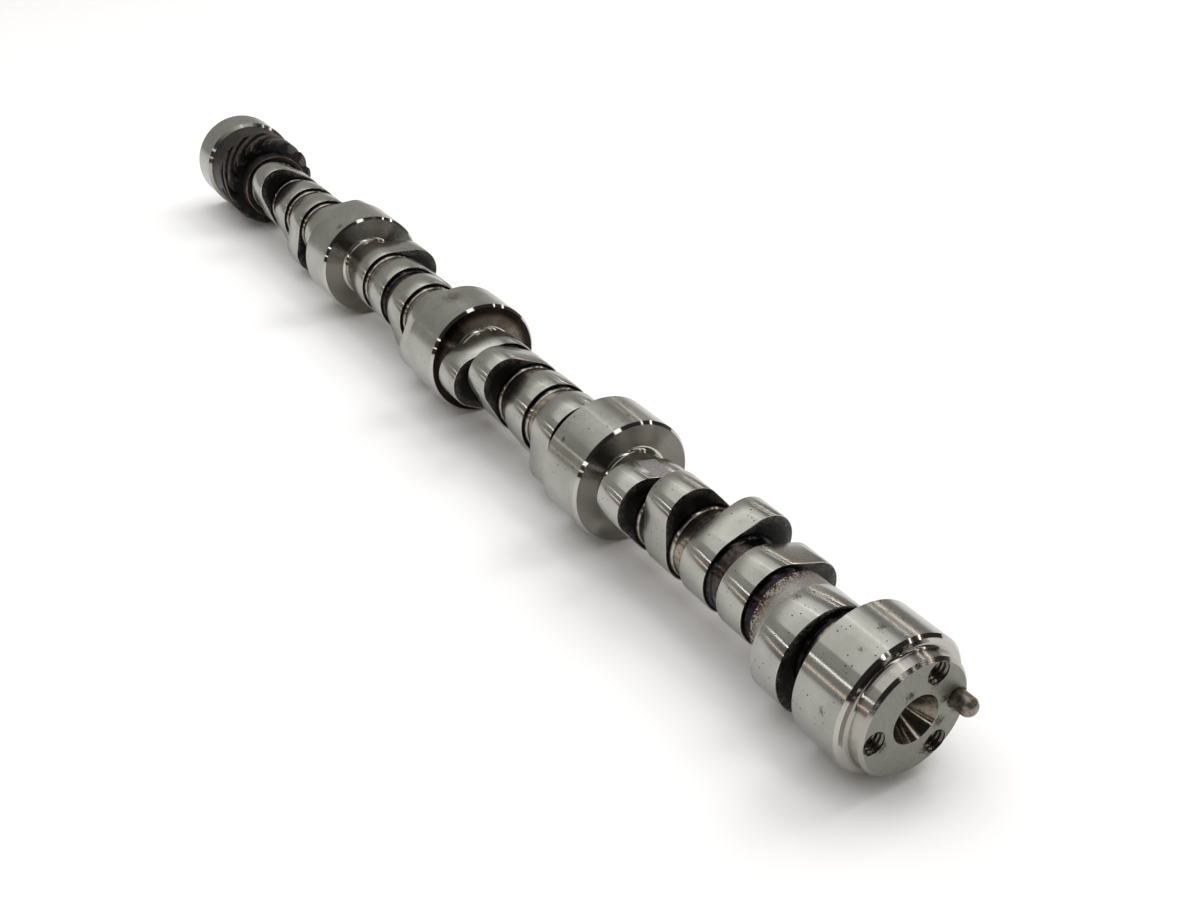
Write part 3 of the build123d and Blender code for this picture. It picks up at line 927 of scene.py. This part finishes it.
# %% Helical teeth
face = bm.faces[:][0]
stations = 24
step = gear_width / stations
for k in range(stations):
    made = bmesh.ops.extrude_face_region(bm, geom=[face])["geom"]
    verts = [g for g in made if isinstance(g, bmesh.types.BMVert)]
    face = [g for g in made if isinstance(g, bmesh.types.BMFace)][0]
    bmesh.ops.translate(bm, verts=verts, vec=(0, 0, -step * MM))
    bmesh.ops.rotate(bm, verts=verts, matrix=Matrix.Rotation(-2 * pi * step / gear_lead, 3, "Z"))
for vertex in bm.verts:
    # No point stands further out than a cone of 45 degrees at the front rim.
    limit = tip_radius - gear_chamfer - vertex.co.z / MM
    now = (vertex.co.x ** 2 + vertex.co.y ** 2) ** 0.5 / MM
    if now > limit:
        vertex.co.x *= limit / now
        vertex.co.y *= limit / now
bmesh.ops.transform(bm, matrix=across(gear_front, first_tooth), verts=bm.verts)
bmesh.ops.recalc_face_normals(bm, faces=bm.faces)
print("each step turns the teeth by", round(360 * step / gear_lead, 2), "degrees")

# %% Finishes of the gear
# A narrow ring inside each end keeps the rubbed rim, with its painted highlight, narrow there too.
bmesh.ops.inset_region(bm, faces=[f for f in bm.faces if len(f.verts) > 8], thickness=0.5 * MM, depth=0.0)
for vertex in {v for f in bm.faces if len(f.verts) > 8 for v in f.verts}:
    vertex[rim] = 0.0


def on_bevel(face):
    """True on the bevelled ends of the crests, at the gear's front."""
    middle = face.calc_center_median()
    cone = tip_radius - gear_chamfer + gear_front - middle.x / MM
    return 0.3 < face.normal.x < 0.96 and abs(middle.yz.length / MM - cone) < 0.3


paint(bm, 1, on_bevel)
finish("drive_gear", bm, [gear_black, tooth_bevel])

# %% [markdown]
# ## Shoulder and drum
# A low shoulder leads from the last neck to the gear, and a plain drum joins the gear to the rear journal.
# Both were only turned and then blackened. Their hidden ends reach a little way into their neighbours.

# %% Shoulder and drum
shoulder_radius, shoulder_rear = 16.6, -498.2
drum_radius, drum_front, drum_rear = 22.2, -514.8, -529.5
bm = turn([(shoulder_front, 0), (shoulder_front, shoulder_radius), (shoulder_rear, shoulder_radius),
           (shoulder_rear, 0)])
round_off(bm, ring(bm, shoulder_front, shoulder_radius), 0.5, 3)
paint(bm, 1, lambda face: 0.05 < face.normal.x < 0.98)
finish("gear_shoulder", bm, [drum_black, bronzed])
bm = turn([(drum_front, 0), (drum_front, drum_radius), (drum_rear, drum_radius), (drum_rear, 0)])
finish("gear_drum", bm, [drum_black])

# %% [markdown]
# ## Dowel pin
# A hardened pin sets the timing gear's place. It is its own piece on the real shaft, so it is one here too.
# Its outline, with a tapered lead and a rounded tip, is spun about the shaft's axis like those of the other
# round pieces, and is then moved out to its seat.

# %% Dowel pin
pin_reach, lead_start, tip, waist = 7.2, 5.2, 1.85, 2.925  # the waist is the relief at the nose's face
bm = turn([(-seat_depth, 0), (-seat_depth, pin_radius), (-0.5, pin_radius), (-0.5, waist), (0.2, waist),
           (0.2, pin_radius), (lead_start, pin_radius), (pin_reach, tip), (pin_reach, 0)])
round_off(bm, ring(bm, pin_reach, tip), 1.2, 4)
round_off(bm, ring(bm, lead_start, pin_radius), 0.5, 3)
bmesh.ops.translate(bm, verts=bm.verts, vec=towards(dowel_angle) * bolt_circle * MM)
finish("dowel_pin_piece", bm, [pin_steel], slot="dowel_pin")
